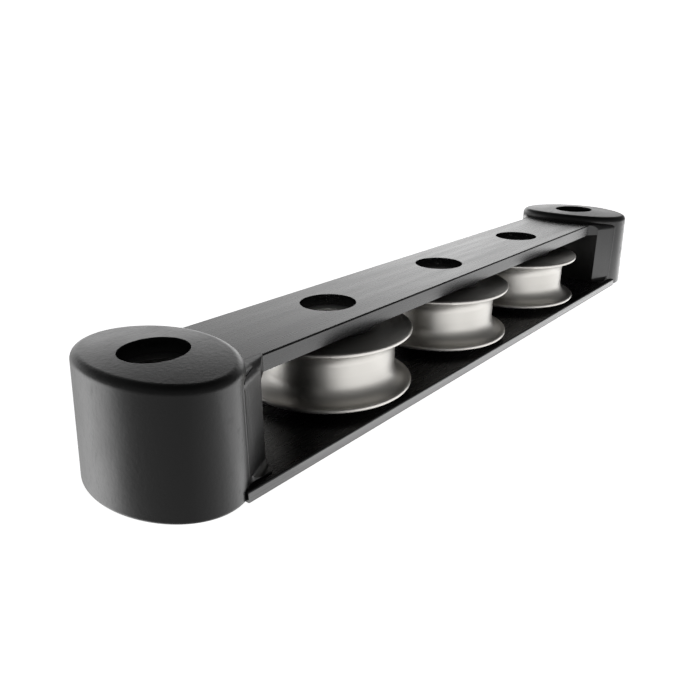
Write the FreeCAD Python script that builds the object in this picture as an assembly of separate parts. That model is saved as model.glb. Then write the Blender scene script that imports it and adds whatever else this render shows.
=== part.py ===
import FreeCAD, Part
import math
import os

os.makedirs("parts", exist_ok=True)
V = FreeCAD.Vector

# Rope deck organizer: three sheaves between two plates, with a mounting cap at each end.
# X runs along the row of sheaves, Y across it, Z up from the deck. Millimetres.

# bolts that go through to the deck
bolt_hole_r = 4.25        # clearance for an 8 mm bolt
head_recess_r = 7.5       # room for a button head or a socket driver
head_depth = 3.0          # depth of the recess over a sheave

# row of sheaves
sheave_r = 22.5
rope_way = 9.0            # between the rims of neighbouring sheaves
pitch = 2 * sheave_r + rope_way
axes = [("1", -pitch), ("2", 0.0), ("3", pitch)]
cap_x = 2 * pitch         # cap bolt axis

# sheave section
sheave_h = 15.8
groove_depth = 4.6
rim_t = 1.15
rim_round = 0.45

# sheave bearing, upright on a hollow axle
axle_step = 1.0           # how far the journal stands out round its spigots
axle_fit = 0.04           # radial play of the bush on the axle
bush_t = 2.0
bush_proud = 0.2
side_play = 0.3
washer_t = 1.55
washer_play = 0.1         # round the axle
washer_overlap = 2.0      # how far a washer reaches over the sheave

# lower plate
lower_t = 2.6
lower_setback = 0.2       # of its long edge behind the rim of a sheave
lower_shoulder_in = 3.5   # from the cap bolt axis to the full width
lower_tongue_half_w = 11.0

# upper plate
upper_t = 4.0
upper_half_w = 13.8
upper_shoulder_in = 17.2
tongue_setback = 1.0
pocket_wall = 1.7         # cap wall between the upper tongue and the bolt recess
edge_break = 0.35

# end cap: half lengths and half widths at the deck and at the crown
cap_bottom_wall, cap_top_wall = 8.2, 7.0     # outside the bolt recess, along the row
cap_bottom_shift, cap_top_shift = -0.6, 0.3
cap_bottom_over, cap_top_over = 0.1, -0.3    # past the long edge of the lower plate
crown_rise = 3.1          # crown above the upper plate
crown_r = 250.0
crown_round = 2.0
foot_round = 0.8
sleeve_depth = 3.7        # from the crown down to the sleeve
fit = 0.05                # clearance round a plate tongue in its pocket

# shoulder of the cap, between the boss and the rope way of the first sheave
shoulder_x = 13.85        # from the bolt axis
shoulder_over = 2.8       # past the long edge of the upper plate
root_x, root_in = 3.5, 1.4         # where it leaves the boss, and how far inside the lower plate's edge
flare_x, flare_in = 7.0, 1.9       # where it starts to narrow
flare_blend = 1.2         # how far the corner's curve reaches along each side
shoulder_round = 2.2
foot_t = 0.35
foot_bevel = 1.6          # how far the foot's corner stands back from the narrow end
foot_cove = 1.2           # hollow fillet that spreads the narrow end over the foot
foot_blend = 0.55

# what follows from those
lower_half_w = sheave_r - lower_setback
groove_r = sheave_r - groove_depth
groove_round = groove_depth - rim_round      # the groove curves right out to the rim
axle_r = head_recess_r + axle_step
bush_r = axle_r + axle_fit
sheave_bore_r = bush_r + bush_t
washer_r = sheave_bore_r + washer_overlap
gap = sheave_h + 2 * (bush_proud + side_play + washer_t)
lower_top = lower_t
upper_bottom = lower_top + gap
upper_top = upper_bottom + upper_t
mid_z = (lower_top + upper_bottom) / 2
crown_top = upper_top + crown_rise
sleeve_top = crown_top - sleeve_depth
through = 1.0             # how far a cutting tool runs past what it cuts
tiny = 0.01


def cylinder(r, z0, z1, x=0.0):
    return Part.makeCylinder(r, z1 - z0, V(x, 0, z0))


def tube(r_out, r_in, z0, z1, x=0.0):
    return cylinder(r_out, z0, z1, x).cut(cylinder(r_in, z0 - through, z1 + through, x))


def slab(half_x, half_y, z0, z1):
    return Part.makeBox(2 * half_x, 2 * half_y, z1 - z0, V(-half_x, -half_y, z0))


def line(start, end):
    return Part.LineSegment(start, end).toShape()


def arc(start, end, centre):
    """Circular arc between two points, the short way round its centre."""
    middle = centre + (start + end - centre * 2).normalize() * start.distanceToPoint(centre)
    return Part.Arc(start, middle, end).toShape()


def blend(start, corner, end):
    curve = Part.BezierCurve()
    curve.setPoles([start, corner, end])
    return curve.toShape()


def prism(half_plan, z0, z1):
    """Solid from z0 to z1 of a plan outline given by the (x, y, blend) corners of its +Y half,
    where blend is how far the corner's curve reaches along each side."""
    corners = [V(x, y, z0) for x, y, reach in half_plan]
    here, edges = corners[0], []
    for i, (x, y, reach) in enumerate(half_plan[1:], 1):
        corner = corners[i]
        if reach:
            start = corner + (here - corner).normalize() * reach
            end = corner + (corners[i + 1] - corner).normalize() * reach
            edges += [line(here, start), blend(start, corner, end)]
            here = end
        else:
            edges.append(line(here, corner))
            here = corner
    edges += [edge.mirror(V(0, 0, 0), V(0, 1, 0)) for edge in edges]
    edges += [line(corner, V(corner.x, -corner.y, z0)) for corner in (corners[0], corners[-1])]
    outline = Part.Wire(Part.__sortEdges__(edges))
    return Part.Face(outline).extrude(V(0, 0, z1 - z0))


def edges_of(shape, test):
    return [edge for edge in shape.Edges if test(edge.BoundBox)]


def export(node, shape):
    if shape.ShapeType != "Solid" and len(shape.Solids) == 1:
        shape = shape.Solids[0]
    shape.exportStep("parts/%s.step" % node)


# plates: a full-width middle with a narrower tongue at each end

def break_long_edges(plate, z, half_w):
    long_edges = edges_of(plate, lambda b: b.ZMin > z - tiny and b.YLength < tiny
                          and abs(abs(b.Center.y) - half_w) < tiny)
    return plate.makeChamfer(edge_break, long_edges)


def lower_tongues(grow=0.0):
    half_w = lower_tongue_half_w + grow
    tongues = slab(cap_x, half_w, 0, lower_top)
    for x in (-cap_x, cap_x):
        tongues = tongues.fuse(cylinder(half_w, 0, lower_top, x))
    return tongues


def upper_tongues(grow=0.0):
    half_x = cap_x - head_recess_r - pocket_wall
    half_w = upper_half_w - tongue_setback
    return slab(half_x + grow, half_w + grow, upper_bottom, upper_top)


lower_body = slab(cap_x - lower_shoulder_in, lower_half_w, 0, lower_top)
lower_plate = lower_body.fuse(lower_tongues()).removeSplitter()
lower_plate = break_long_edges(lower_plate, lower_top, lower_half_w)
for node, x in axes:
    lower_plate = lower_plate.cut(cylinder(head_recess_r, -through, lower_top + through, x))
for x in (-cap_x, cap_x):
    lower_plate = lower_plate.cut(cylinder(bolt_hole_r, -through, lower_top + through, x))
export("lower_plate", lower_plate)

upper_body = slab(cap_x - upper_shoulder_in, upper_half_w, upper_bottom, upper_top)
upper_plate = upper_body.fuse(upper_tongues()).removeSplitter()
upper_plate = break_long_edges(upper_plate, upper_top, upper_half_w)
for node, x in axes:
    upper_plate = upper_plate.cut(
        cylinder(head_recess_r, upper_bottom - through, upper_top + through, x))
export("upper_plate", upper_plate)


# end cap, drawn round its own bolt axis with +X toward the sheaves

def ellipse(a, b, z, shift):
    curve = Part.Ellipse(V(shift, b, z), V(shift + a, 0, z), V(shift, 0, z))
    return Part.Wire(curve.toShape())


def make_boss():
    """Drafted elliptical boss under a slightly domed crown."""
    bottom = ellipse(head_recess_r + cap_bottom_wall, lower_half_w + cap_bottom_over,
                     0, cap_bottom_shift)
    top = ellipse(head_recess_r + cap_top_wall, lower_half_w + cap_top_over,
                  crown_top + through, cap_top_shift)
    boss = Part.makeLoft([bottom, top], True, True)
    boss = boss.common(Part.makeSphere(crown_r, V(0, 0, crown_top - crown_r)))
    boss = boss.makeFillet(crown_round, edges_of(
        boss, lambda b: b.ZMin > upper_top and b.YLength > lower_half_w))
    return boss.makeFillet(foot_round, edges_of(boss, lambda b: b.ZMax < tiny))


def cove(start, end, r, z):
    """Hollow fillet of radius r along the +Y side face from start to end, seated at z."""
    along = (V(end[0], end[1], 0) - V(start[0], start[1], 0)).normalize()
    out = along.cross(V(0, 0, 1))
    base = V(start[0], start[1], z) - along * r
    tip, top = base + out * r, base + V(0, 0, r)
    inner, inner_top = base - out * (r / 2), top - out * (r / 2)
    section = Part.Wire([line(inner, tip), arc(tip, top, tip + V(0, 0, r)),
                         line(top, inner_top), line(inner_top, inner)])
    length = math.dist(start, end) + 2 * r
    return Part.Face(section).extrude(along * length)


def make_shoulder():
    """Narrow end that carries the upper plate, spread at its foot over the lower plate."""
    inside = head_recess_r / 2
    root_half_w = lower_half_w - root_in
    flare_half_w = lower_half_w - flare_in
    narrow_half_w = upper_half_w + shoulder_over
    foot_top = lower_top + foot_t
    root = [(-inside, root_half_w, 0), (root_x, root_half_w, 0)]
    narrow_end = [(shoulder_x, narrow_half_w, 0)]

    block = prism(root + [(flare_x, flare_half_w, flare_blend)] + narrow_end, lower_top, upper_top)
    block = block.makeFillet(shoulder_round, edges_of(
        block, lambda b: b.ZMin > upper_top - tiny and b.XMax > root_x + tiny))

    foot_outline = root + [(flare_x, flare_half_w, 0),
                           (shoulder_x - foot_bevel, flare_half_w, foot_blend)] + narrow_end
    side_cove = cove((shoulder_x, narrow_half_w), (flare_x, flare_half_w), foot_cove, foot_top)
    foot = prism(foot_outline, lower_top, foot_top).fuse(
        [side_cove, side_cove.mirror(V(0, 0, 0), V(0, 1, 0))])
    return block.fuse(foot.common(prism(foot_outline, lower_top, upper_top)))


def make_cap():
    cap = make_boss().fuse(make_shoulder())
    window = slab(cap_top_wall + head_recess_r, lower_half_w, lower_top, upper_bottom)
    window.translate(V(shoulder_x + cap_top_wall + head_recess_r, 0, 0))
    cap = cap.cut(window)
    cap = cap.cut(cylinder(head_recess_r, -through, crown_top + through))
    half_w = lower_tongue_half_w + fit
    lower_pocket = slab(cap_x - lower_shoulder_in + fit, 2 * lower_half_w, -through, lower_top)
    lower_pocket = lower_pocket.fuse(slab(cap_x, half_w, -through, lower_top))
    lower_pocket = lower_pocket.fuse(cylinder(half_w, -through, lower_top, -cap_x))
    for pocket in (lower_pocket, upper_tongues(fit)):
        pocket.translate(V(cap_x, 0, 0))
        cap = cap.cut(pocket)
    return max(cap.Solids, key=lambda solid: solid.Volume)


left = make_cap()
left.translate(V(-cap_x, 0, 0))
right = left.mirror(V(0, 0, 0), V(1, 0, 0))
export("end_cap_left", left)
export("end_cap_right", right)

for node, x in (("cap_sleeve_left", -cap_x), ("cap_sleeve_right", cap_x)):
    export(node, tube(head_recess_r, bolt_hole_r, lower_top, sleeve_top, x))


# sheave: one turned profile with a groove for the rope

def make_sheave():
    """Upper half turned from its section and mirrored about the middle of the groove."""
    top = sheave_h / 2
    flange = top - rim_t
    rim_edge = sheave_r - rim_round
    bore, bore_top = V(sheave_bore_r, 0, 0), V(sheave_bore_r, 0, top)
    rim_top, rim_upper = V(rim_edge, 0, top), V(sheave_r, 0, top - rim_round)
    rim_lower, rim_under = V(sheave_r, 0, flange + rim_round), V(rim_edge, 0, flange)
    groove_top, groove = V(groove_r, 0, flange - groove_round), V(groove_r, 0, 0)
    section = Part.Wire([
        line(bore, bore_top), line(bore_top, rim_top),
        arc(rim_top, rim_upper, V(rim_edge, 0, top - rim_round)),
        line(rim_upper, rim_lower),
        arc(rim_lower, rim_under, V(rim_edge, 0, flange + rim_round)),
        arc(rim_under, groove_top, V(rim_edge, 0, flange - groove_round)),
        line(groove_top, groove), line(groove, bore)])
    half = Part.Face(section).revolve(V(0, 0, 0), V(0, 0, 1), 360)
    return half.fuse(half.mirror(V(0, 0, 0), V(0, 0, 1))).removeSplitter()


sheave = make_sheave()
bush_half = sheave_h / 2 + bush_proud
for node, x in axes:
    turning = sheave.copy()
    turning.translate(V(x, 0, mid_z))
    export("sheave_" + node, turning)
    export("sheave_bush_" + node, tube(sheave_bore_r, bush_r, mid_z - bush_half, mid_z + bush_half, x))

# hollow axles: a journal between the plates and a spigot in each plate
spigot_top = upper_top - head_depth
washer_bore_r = axle_r + washer_play
for node, x in axes:
    axle = cylinder(axle_r, lower_top, upper_bottom, x)
    axle = axle.fuse(cylinder(head_recess_r, 0, spigot_top, x))
    axle = axle.cut(cylinder(bolt_hole_r, -through, upper_top, x)).removeSplitter()
    export("axle_tube_" + node, axle)
    export("washer_lower_" + node, tube(washer_r, washer_bore_r, lower_top, lower_top + washer_t, x))
    export("washer_upper_" + node, tube(washer_r, washer_bore_r, upper_bottom - washer_t, upper_bottom, x))
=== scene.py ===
import bmesh, bpy, math
from mathutils import Matrix, Vector


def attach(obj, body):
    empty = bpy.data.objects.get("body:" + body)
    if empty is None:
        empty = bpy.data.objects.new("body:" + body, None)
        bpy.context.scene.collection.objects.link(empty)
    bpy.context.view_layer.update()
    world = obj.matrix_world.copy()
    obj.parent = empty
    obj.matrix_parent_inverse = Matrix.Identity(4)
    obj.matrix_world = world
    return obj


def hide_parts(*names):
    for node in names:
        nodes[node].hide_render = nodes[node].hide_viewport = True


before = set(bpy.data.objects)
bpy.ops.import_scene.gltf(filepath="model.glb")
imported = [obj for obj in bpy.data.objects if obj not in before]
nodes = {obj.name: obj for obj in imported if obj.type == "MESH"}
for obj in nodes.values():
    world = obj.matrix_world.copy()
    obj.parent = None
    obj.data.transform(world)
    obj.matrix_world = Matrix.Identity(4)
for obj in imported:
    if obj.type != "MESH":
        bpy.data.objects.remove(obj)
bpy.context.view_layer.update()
MM = 0.001

PITCH = 54 * MM              # between sheave axes
CAP_X = 108 * MM             # cap bolt axis
RECESS_R = 7.5 * MM          # round recess over every bolt
CROWN_Z = 29.2 * MM
UPPER_HALF_W = 13.8 * MM     # upper plate
LOWER_HALF_W = 22.3 * MM     # lower plate


class Graph:
    """Short calls that add linked nodes to a shader tree."""

    def __init__(self, tree):
        self.tree = tree

    def put(self, value, socket):
        if isinstance(value, bpy.types.NodeSocket):
            self.tree.links.new(value, socket)
        else:
            socket.default_value = value

    def add(self, kind, *inputs, **settings):
        node = self.tree.nodes.new("ShaderNode" + kind)
        for key, value in settings.items():
            setattr(node, key, value)
        for value, socket in zip(inputs, node.inputs):
            self.put(value, socket)
        return node

    def math(self, operation, *values):
        return self.add("Math", *values, operation=operation).outputs[0]

    def fit(self, value, low, high, new_low, new_high):
        """Maps low..high to new_low..new_high, and stays inside them."""
        return self.add("MapRange", value, low, high, new_low, new_high).outputs[0]

    def ramp(self, value, stops, smooth="LINEAR"):
        """Colour ramp through (position, colour) stops; a number stands for a grey."""
        node = self.add("ValToRGB", value)
        node.color_ramp.interpolation = smooth
        points = node.color_ramp.elements
        while len(points) < len(stops):
            points.new(0.5)
        for point, (position, color) in zip(points, stops):
            point.position = position
            point.color = (*(color if isinstance(color, tuple) else [color] * 3), 1)
        return node.outputs[0]

    def noise(self, coords, size, detail=2.0, offset=0.0):
        """Noise with features about size metres across, one number or one for each axis."""
        size = size if isinstance(size, tuple) else (size, size, size)
        scaled = self.add("VectorMath", coords, [1 / s for s in size], (offset,) * 3,
                          operation="MULTIPLY_ADD").outputs[0]
        node = self.add("TexNoise", scaled)
        node.inputs["Scale"].default_value = 1.0
        node.inputs["Detail"].default_value = detail
        return node.outputs[0]

    def scratches(self, coords, size, share):
        """1 along a few fine marks, 0 elsewhere; share is how much of the surface they take."""
        return self.fit(self.noise(coords, size, 1.0, 31.0), 0.68 - share, 0.7 - share, 0.0, 1.0)


class Finish(Graph):
    """A material on a Principled shader, with coordinates in metres."""

    def __init__(self, name, metallic, specular):
        self.mat = bpy.data.materials.new(name)
        self.mat.use_nodes = True
        super().__init__(self.mat.node_tree)
        self.shader = self.tree.nodes["Principled BSDF"]
        self.set("Metallic", metallic)
        self.set("Specular IOR Level", specular)
        self.coords = self.add("TexCoord").outputs["Object"]
        self.x, self.y, self.z = self.add("SeparateXYZ", self.coords).outputs

    def set(self, socket, value):
        self.put(value, self.shader.inputs[socket])

    def bump(self, height, depth, under=None):
        """Relief of the given depth in metres, laid over another relief."""
        node = self.add("Bump")
        node.inputs["Strength"].default_value = 1.0
        node.inputs["Distance"].default_value = depth
        self.put(height, node.inputs["Height"])
        if under:
            self.put(under, node.inputs["Normal"])
        return node.outputs[0]

    def radius(self, x):
        """Distance from an upright axis that lies x away along the row."""
        return self.math("SQRT", self.math("ADD", self.math("MULTIPLY", x, x),
                                           self.math("MULTIPLY", self.y, self.y)))

    def sheave_radius(self):
        """Distance from the axis of the nearest sheave."""
        return self.radius(self.math("WRAP", self.x, PITCH / 2, -PITCH / 2))

    def cap_radius(self):
        """Distance from the axis of the nearer cap bolt."""
        return self.radius(self.math("SUBTRACT", self.math("ABSOLUTE", self.x), CAP_X))

    def rings(self, r):
        """Coordinates that are the same all round an axis at distance r, for turning marks."""
        return self.add("CombineXYZ", r, self.z, 0.0).outputs[0]


def moulded_cap():
    """Black glass-filled nylon: fine eroded texture, soft flow mottle, rubbed recess rim."""
    m = Finish("cap_plastic", 0.0, 0.5)
    mottle = m.noise(m.coords, 9 * MM, 3.0)
    grain = m.noise(m.coords, 0.8 * MM, 3.0)
    rub = m.math("MULTIPLY", m.fit(m.cap_radius(), RECESS_R, RECESS_R + 0.7 * MM, 1.0, 0.0),
                 m.fit(m.z, CROWN_Z - 1.2 * MM, CROWN_Z, 0.0, 1.0))
    marks = m.scratches(m.coords, (5 * MM, 0.35 * MM, 2 * MM), 0.02)
    tone = m.math("ADD", m.math("MULTIPLY", mottle, 0.5), m.math("MULTIPLY", rub, 0.6))
    m.set("Base Color", m.ramp(tone, [(0.0, (0.0015, 0.0015, 0.0016)),
                                      (0.6, (0.003, 0.003, 0.0032)),
                                      (1.0, (0.010, 0.010, 0.0105))]))
    rough = m.math("ADD", m.fit(mottle, 0.3, 0.7, 0.27, 0.33), m.math("MULTIPLY", marks, 0.08))
    m.set("Roughness", m.math("ADD", rough, m.math("MULTIPLY", grain, 0.06)))
    # the crown is sandier than the walls
    coarse = m.fit(m.z, CROWN_Z - 1.2 * MM, CROWN_Z - 0.4 * MM, 0.55, 1.0)
    relief = m.bump(m.math("MULTIPLY", grain, coarse), 0.042 * MM)
    m.set("Normal", m.bump(marks, -0.002 * MM, relief))
    return m


def anodised_plate(name, half_w, edge_and_highlight_tone, gloss):
    """Black anodised aluminium, brushed along the row, greyer where its edges were cut; on the
    lower plate that light edge is also a painted highlight.
    """
    m = Finish(name, 0.0, gloss)
    grain = m.noise(m.coords, (9 * MM, 0.4 * MM, 0.5 * MM), 3.0)
    broad = m.noise(m.coords, (60 * MM, 2.6 * MM, 3 * MM), 2.0, 7.0)
    side = m.fit(m.math("ABSOLUTE", m.y), half_w - 0.25 * MM, half_w, 0.0, 1.0)
    hole = m.fit(m.sheave_radius(), RECESS_R, RECESS_R + 0.35 * MM, 0.5, 0.0)
    tone = m.math("ADD", m.math("MULTIPLY", grain, 0.4), m.math("MULTIPLY", broad, 0.3))
    dark = m.ramp(tone, [(0.0, (0.0015, 0.0015, 0.0017)), (1.0, (0.0045, 0.0045, 0.0048))])
    # edge tone at the long edges and hole rims: cut metal, and on the lower plate also a painted
    # highlight
    mix = m.add("Mix", m.math("MAXIMUM", side, hole), data_type="RGBA")
    m.put(dark, mix.inputs["A"])
    m.put((*edge_and_highlight_tone, 1), mix.inputs["B"])
    m.set("Base Color", mix.outputs["Result"])
    m.set("Roughness", m.math("ADD", m.fit(grain, 0.3, 0.7, 0.25, 0.28),
                              m.fit(broad, 0.3, 0.7, -0.02, 0.03)))
    fine = m.noise(m.coords, 0.55 * MM, 2.0, 5.0)
    m.set("Normal", m.bump(fine, 0.004 * MM, m.bump(grain, 0.0006 * MM)))
    return m


def turned_metal():
    """Satin aluminium turned on a lathe: fine rings round each axis, slight wear."""
    m = Finish("sheave_metal", 1.0, 0.5)
    rings = m.rings(m.sheave_radius())
    fine = m.noise(rings, 0.28 * MM, 3.0)
    broad = m.noise(rings, 2.2 * MM, 1.0, 3.0)
    wear = m.noise(m.coords, 6 * MM, 3.0)
    tone = m.math("ADD", m.math("MULTIPLY", broad, 0.6), m.math("MULTIPLY", wear, 0.4))
    m.set("Base Color", m.ramp(tone, [(0.25, (0.42, 0.408, 0.388)), (0.75, (0.465, 0.453, 0.43))]))
    m.set("Roughness", m.math("ADD", m.fit(fine, 0.3, 0.7, 0.38, 0.44),
                              m.fit(wear, 0.3, 0.7, 0.0, 0.04)))
    m.set("Anisotropic", 0.6)
    m.set("Anisotropic Rotation", 0.25)
    m.set("Tangent", m.add("Tangent", direction_type="RADIAL", axis="Z").outputs[0])
    m.set("Normal", m.bump(fine, 0.0007 * MM))
    return m


def bearing_plastic():
    """Plain dark bearing plastic with turning marks."""
    m = Finish("bearing_plastic", 0.0, 0.5)
    fine = m.noise(m.rings(m.sheave_radius()), 0.3 * MM, 2.0)
    mottle = m.noise(m.coords, 4 * MM, 2.0)
    m.set("Base Color", m.ramp(mottle, [(0.3, (0.009, 0.009, 0.010)),
                                        (0.7, (0.016, 0.016, 0.017))]))
    m.set("Roughness", m.fit(fine, 0.3, 0.7, 0.42, 0.55))
    m.set("Normal", m.bump(fine, 0.003 * MM))
    return m


def turned_steel(name, radius, bright, rough):
    """Stainless steel faced in a lathe: rings on the ledge, and painted shade that darkens it in
    mottles toward the wall.
    """
    m = Finish(name, 1.0, 0.5)
    r = radius(m)
    fine = m.noise(m.rings(r), 0.22 * MM, 3.0)
    # painted shade: the ledge darkens in mottles toward the recess wall
    painted_wall_shade = m.math("MULTIPLY", m.noise(m.coords, 2.5 * MM, 3.0),
                   m.fit(r, 6.4 * MM, RECESS_R, 0.3, 1.0))
    m.set("Base Color", m.ramp(painted_wall_shade, [(0.1, (bright, bright, bright * 0.98)),
                                       (0.6, bright * 0.6)]))
    m.set("Roughness", m.fit(fine, 0.3, 0.7, rough - 0.05, rough + 0.08))
    m.set("Normal", m.bump(fine, 0.003 * MM))
    return m


cap = moulded_cap()
upper = anodised_plate("plate_upper", UPPER_HALF_W, (0.012, 0.012, 0.0125), 0.5)
# the lower plate's light edge tone is partly a painted highlight along its front edge
lower = anodised_plate("plate_lower", LOWER_HALF_W, (0.17, 0.17, 0.17), 0.3)
metal = turned_metal()
plastic = bearing_plastic()
# the axle steel's light base is a painted highlight for its ledge down in the plate hole
axle = turned_steel("axle_steel_painted_light", Finish.sheave_radius, 0.8, 0.5)
# the sleeve steel's dark base is painted shade for the sleeves deep in the cap recesses
sleeve = turned_steel("sleeve_steel_painted_shade", Finish.cap_radius, 0.36, 0.33)

by_name = [("end_cap", cap), ("upper_plate", upper), ("lower_plate", lower),
           ("sheave_bush", plastic), ("washer", plastic), ("sheave", metal),
           ("axle_tube", axle), ("cap_sleeve", sleeve)]
for name, piece in nodes.items():
    finish = next(finish for start, finish in by_name if name.startswith(start))
    for slot in piece.material_slots:
        slot.material = finish.mat


def place(name, data):
    obj = bpy.data.objects.new(name, data)
    bpy.context.scene.collection.objects.link(obj)
    return obj


# end cap in plan, as (distance from its bolt axis toward the sheaves, half width), in mm
ROOT, FLARE, NARROW = (3.5, 20.9), (7.0, 20.4), (13.85, 16.6)    # corners of the CAD flank
FLARE_BLEND = 1.2            # how far the curve at the flare reaches along each side
CREASE = (5.45, 20.62)       # where the flat flank leaves the boss
LIP = [(10.8, 12.86), (17.15, 12.86), (17.15, 13.8), (13.85, 16.55), (10.8, 18.0)]
LIP_FLANK = (3, 4)           # corners of the lip on the flank

# heights and widths of the cap, in mm
FOOT_TOP, COVE = 2.95, 1.2   # the hollow fillet over the foot keeps its lower edge
PLATE_BOTTOM, PLATE_TOP = 22.5, 26.5
SUNK = 0.01                  # lip under the shoulder's top, so that no two faces coincide
SHOULDER_ROUND = 2.2
ROLL_IN = 2.4                # the flank, its rolled edge and nothing further in moves
POCKET_HALF_W = 12.9
BOSS_LENGTH, BOSS_WIDTH = (15.7, 14.5), (22.4, 22.0)    # half axes at the deck and on top
BOSS_SHIFT, BOSS_HEIGHT = (-0.6, 0.3), 30.6
BOSS_R = 15.0                # mean radius, for a rough distance from the boss
BOSS_GAP = 0.15


def clamp(value):
    return min(max(value, 0.0), 1.0)


def between(ends, share):
    return ends[0] + (ends[1] - ends[0]) * share


def slope(start, end):
    return (end[1] - start[1]) / (end[0] - start[0])


def cad_flank(u):
    """Half width of the CAD shoulder at u: two straight sides and the curve between them."""
    du = u - FLARE[0]
    in_slope, out_slope = slope(ROOT, FLARE), slope(FLARE, NARROW)
    before = FLARE_BLEND / math.hypot(1, in_slope)
    after = FLARE_BLEND / math.hypot(1, out_slope)
    if du <= -before:
        return FLARE[1] + in_slope * du
    if du >= after:
        return FLARE[1] + out_slope * du
    bend = after - before
    t = (math.sqrt(before * before + bend * (before + du)) - before) / bend
    return FLARE[1] - in_slope * before * (1 - t) ** 2 + out_slope * after * t * t


def flat_flank_at(u):
    return CREASE[1] + slope(CREASE, NARROW) * (u - CREASE[0])


def outside_boss(u, v, z):
    """Rough distance of a point from the boss's wall."""
    rise = z / BOSS_HEIGHT
    along = (u - between(BOSS_SHIFT, rise)) / between(BOSS_LENGTH, rise)
    return BOSS_R * (math.hypot(along, v / between(BOSS_WIDTH, rise)) - 1)


def straighten(point):
    """Where a point of the CAD cap lies once the flank is one flat face; in metres."""
    x, y, z = (c / MM for c in point)
    u, v = CAP_X / MM - abs(x), abs(y)
    if CREASE[0] < u < NARROW[0] and v > POCKET_HALF_W and z < PLATE_TOP + 2 * SUNK:
        share = clamp((z - FOOT_TOP) / COVE) * clamp(1 - (cad_flank(u) - v) / ROLL_IN)
        share *= clamp(outside_boss(u, v, z) / BOSS_GAP)
        v -= (cad_flank(u) - flat_flank_at(u)) * share
    return [x * MM, math.copysign(v, y) * MM, z * MM]


def straightened_normal(at, normal):
    """Turns a normal as straighten() turns the surface at a point."""
    step = 0.01 * MM
    columns = []
    for axis in range(3):
        low, high = list(at), list(at)
        low[axis] -= step
        high[axis] += step
        columns.append([(b - a) / (2 * step) for a, b in zip(straighten(low), straighten(high))])
    return (Matrix(columns).inverted_safe() @ normal).normalized()


def flat_flank(name, node):
    """Copy of an end cap whose shoulder runs straight from the boss to its narrow end."""
    mesh = node.data.copy()
    normals = []
    for face in mesh.polygons:
        for corner in face.loop_indices:
            here = mesh.vertices[mesh.loops[corner].vertex_index].co
            inside = here.lerp(face.center, 0.03)    # on this face's side of a crease
            normals.append(straightened_normal(inside, mesh.corner_normals[corner].vector))
    for vertex in mesh.vertices:
        vertex.co = straighten(vertex.co)
    mesh.normals_split_custom_set(normals)
    piece = place(name, mesh)
    piece.matrix_world = node.matrix_world
    for slot in piece.material_slots:
        slot.material = cap.mat
    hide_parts(node.name)
    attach(piece, "frame")


def cap_lips(name, side):
    """The cap's lips beside the upper plate's tongue, flush with the plate."""
    bm = bmesh.new()
    for across in (-1, 1):
        base, top = [[bm.verts.new((side * (CAP_X - u * MM), across * v * MM, z * MM))
                      for u, v in LIP] for z in (PLATE_BOTTOM, PLATE_TOP - SUNK)]
        bm.faces.new(base)
        bm.faces.new(top)
        for i in range(len(LIP)):
            j = (i + 1) % len(LIP)
            bm.faces.new((base[i], base[j], top[j], top[i]))
        edge = bm.edges.get([top[i] for i in LIP_FLANK])
        bmesh.ops.bevel(bm, geom=[edge], offset=SHOULDER_ROUND * MM, segments=12, profile=0.5,
                        affect="EDGES")
    bmesh.ops.recalc_face_normals(bm, faces=bm.faces)
    mesh = bpy.data.meshes.new(name)
    bm.to_mesh(mesh)
    bm.free()
    mesh.materials.append(cap.mat)
    piece = place(name, mesh)
    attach(piece, "frame")


for end, side in (("left", -1), ("right", 1)):
    flat_flank("cap_flat_flank_" + end, nodes["end_cap_" + end])
    cap_lips("cap_lips_" + end, side)


# studio: radiance by direction in degrees, as (azimuth, value) or (height, value)
BELOW = [(-180, 0.5), (-135, 0.48), (-110, 0.65), (-80, 1.1), (-50, 2.0), (-25, 3.0), (0, 2.3),
         (45, 0.9), (85, 0.8), (100, 1.5), (114, 3.0), (135, 3.0), (150, 0.6), (165, 0.45),
         (180, 0.5)]
BEHIND = [(-90, 2.2), (4, 2.4), (12, 2.75), (18, 1.8), (23, 0.5), (28, 0.16), (36, 0.06),
          (90, 0.04)]
FRONT = [(-90, 0.2), (0, 0.2), (30, 0.15), (60, 0.06), (90, 0.03)]
SHARE_BEHIND = [(-180, 0.0), (-20, 0.0), (8, 0.1), (22, 0.7), (32, 1.0), (60, 0.8), (90, 0.35),
                (120, 0.1), (150, 0.0), (180, 0.0)]
SHARE_ABOVE = [(-8, 0.0), (2, 1.0)]
BRIGHTEST = 3.0


def studio():
    """Pale low surroundings, brighter behind and at the sides, dim overhead and in front."""
    world = bpy.data.worlds.new("studio")
    bpy.context.scene.world = world
    world.use_nodes = True
    g = Graph(world.node_tree)
    x, y, z = g.add("SeparateXYZ", g.add("TexCoord").outputs["Generated"]).outputs
    turn = g.math("MULTIPLY_ADD", g.math("ARCTAN2", y, x), 0.5 / math.pi, 0.5)
    height = g.math("MULTIPLY_ADD", g.math("ARCSINE", z), 1 / math.pi, 0.5)

    def around(stops, scale=1.0):
        return g.ramp(turn, [((at + 180) / 360, v / scale) for at, v in stops], "EASE")

    def rising(stops, scale=1.0):
        return g.ramp(height, [((at + 90) / 180, v / scale) for at, v in stops], "EASE")

    def blend(first, second, share):
        return g.math("MULTIPLY_ADD", second, share,
                      g.math("MULTIPLY", first, g.math("SUBTRACT", 1.0, share)))

    above = blend(rising(FRONT, BRIGHTEST), rising(BEHIND, BRIGHTEST), around(SHARE_BEHIND))
    value = blend(around(BELOW, BRIGHTEST), above, rising(SHARE_ABOVE))
    light = g.tree.nodes["Background"]
    g.put(value, light.inputs["Color"])
    light.inputs["Strength"].default_value = BRIGHTEST


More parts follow.
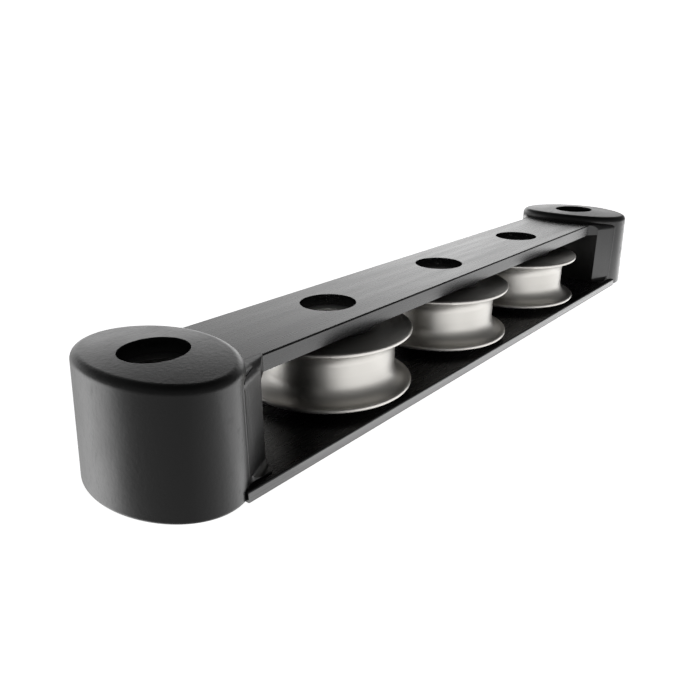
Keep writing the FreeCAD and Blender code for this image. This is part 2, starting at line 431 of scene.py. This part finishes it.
def backdrop(name, radius, height, emission):
    """Pale floor that sweeps up into a wall all round, seen by the camera and lit evenly."""
    profile = [(0.02, 0), (radius * 0.5, 0), (radius * 0.85, 0), (radius * 0.96, height * 0.02),
               (radius, height * 0.06), (radius * 1.02, height * 0.5),
               (radius * 0.6, height * 0.95), (0.02, height)]
    count = 96
    under_deck = 0.2 * MM
    verts, faces = [], []
    for r, z in profile:
        for i in range(count):
            a = 2 * math.pi * i / count
            verts.append((r * math.cos(a), r * math.sin(a), z - under_deck))
    for start in range(0, count * (len(profile) - 1), count):
        for i in range(count):
            j = (i + 1) % count
            faces.append((start + i, start + j, start + count + j, start + count + i))
    faces.append(tuple(range(count))[::-1])
    faces.append(tuple(range(len(verts) - count, len(verts))))
    mesh = bpy.data.meshes.new(name)
    mesh.from_pydata(verts, [], faces)
    m = Finish(name, 0.0, 0.2)
    m.set("Base Color", m.ramp(m.noise(m.coords, 0.3, 2.0), [(0.3, 0.88), (0.7, 0.92)]))
    m.set("Roughness", 0.7)
    m.set("Emission Color", (1, 1, 1, 1))
    m.set("Emission Strength", emission)
    mesh.materials.append(m.mat)
    obj = place(name, mesh)
    for ray in ("glossy", "diffuse", "transmission", "shadow"):
        setattr(obj, "visible_" + ray, False)


def card(name, x0, x1, y0, y1, glow):
    """Card flat on the floor beside the object that glows as a painted patch of lit floor, and
    with little glow as a painted floor shadow; only reflections see it.
    """
    z = 0.3 * MM
    mesh = bpy.data.meshes.new(name)
    mesh.from_pydata([(x0, y0, z), (x1, y0, z), (x1, y1, z), (x0, y1, z)], [], [(0, 1, 2, 3)])
    m = Finish(name, 0.0, 0.2)
    m.set("Base Color", (0.03, 0.03, 0.03, 1))
    m.set("Emission Color", (1, 1, 1, 1))
    m.set("Emission Strength", glow)
    mesh.materials.append(m.mat)
    obj = place(name, mesh)
    obj.visible_camera = False


# camera fitted to the photograph
VIEW_FROM = (-0.1814, -0.11297, 0.07956)
VIEW_ANGLES = (-50.38, 21.39, -0.24)    # azimuth, downward pitch and roll, in degrees
SENSOR, LENS = 36, 34.62


def camera():
    data = bpy.data.cameras.new("view")
    cam = place("view", data)
    azimuth, pitch, roll = (math.radians(a) for a in VIEW_ANGLES)
    back = Vector((math.sin(azimuth) * math.cos(pitch), -math.cos(azimuth) * math.cos(pitch),
                   math.sin(pitch)))
    right = (-back).cross(Vector((0, 0, 1))).normalized()
    up = right.cross(-back)
    right, up = (right * math.cos(roll) + up * math.sin(roll),
                 up * math.cos(roll) - right * math.sin(roll))
    turned = Matrix((right, up, back)).transposed().to_4x4()
    cam.matrix_world = Matrix.Translation(VIEW_FROM) @ turned
    data.sensor_width = SENSOR
    data.lens = LENS
    data.clip_start = 0.005
    bpy.context.scene.camera = cam


studio()
backdrop("floor", 4.0, 3.0, 1.0)
# painted shadow of the object on the floor behind it: a dark card glowing only a little
card("painted_floor_shadow_card", -60 * MM, 100 * MM, 26 * MM, 140 * MM, 0.12)
# painted pool of light on the floor in front of the object
card("painted_floor_light_card", -90 * MM, 130 * MM, -170 * MM, -24 * MM, 2.4)
camera()
bpy.context.scene.view_settings.view_transform = "Standard"
